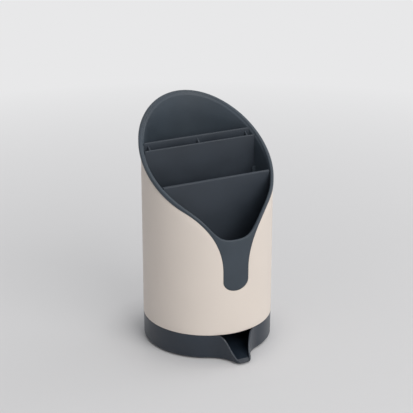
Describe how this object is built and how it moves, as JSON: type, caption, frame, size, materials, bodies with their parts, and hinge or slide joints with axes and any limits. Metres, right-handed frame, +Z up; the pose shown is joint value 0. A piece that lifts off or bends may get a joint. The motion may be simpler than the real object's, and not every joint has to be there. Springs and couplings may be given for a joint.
{
  "type": "cutlery drainer",
  "caption": "Round cutlery drainer: slanted painted steel sleeve on a drip tray with a pouring spout, with a lift-out divided caddy.",
  "frame": {"origin": "centre of the footprint, spout included, on the surface the drainer stands on", "axes": "+Z up, -Y towards the spout and the tongue, +X to the right seen from the front; the sleeve's axis is at x 0, y 0.00765"},
  "size_m": [0.1232, 0.1401, 0.221],
  "materials": {
    "slate_plastic": "satin-matte moulded slate grey",
    "stone_paint": "matte stone-coloured powder coat",
    "pad_rubber": "matte"
  },
  "bodies": {
    "tray": {"base_tray": "slate_plastic", "foot_pad_1": "pad_rubber", "foot_pad_2": "pad_rubber", "foot_pad_3": "pad_rubber", "foot_pad_4": "pad_rubber"},
    "sleeve": {"outer_sleeve": "stone_paint"},
    "caddy": {"caddy_shell": "slate_plastic", "drain_floor": "slate_plastic"},
    "sponge_wall": {"front_divider": "slate_plastic"},
    "rack": {"knife_rack": "slate_plastic"}
  },
  "joints": [
    {"name": "sleeve_lift", "type": "slide", "parent": "tray", "child": "sleeve", "axis": [0, 0, 1], "range_m": [0, 0.04]},
    {"name": "caddy_lift", "type": "slide", "parent": "sleeve", "child": "caddy", "axis": [0, 0, 1], "range_m": [0, 0.196]},
    {"name": "front_divider_lift", "type": "slide", "parent": "caddy", "child": "sponge_wall", "axis": [0, 0, 1], "range_m": [0, 0.132]},
    {"name": "knife_rack_lift", "type": "slide", "parent": "caddy", "child": "rack", "axis": [0, 0, 1], "range_m": [0, 0.162]}
  ]
}
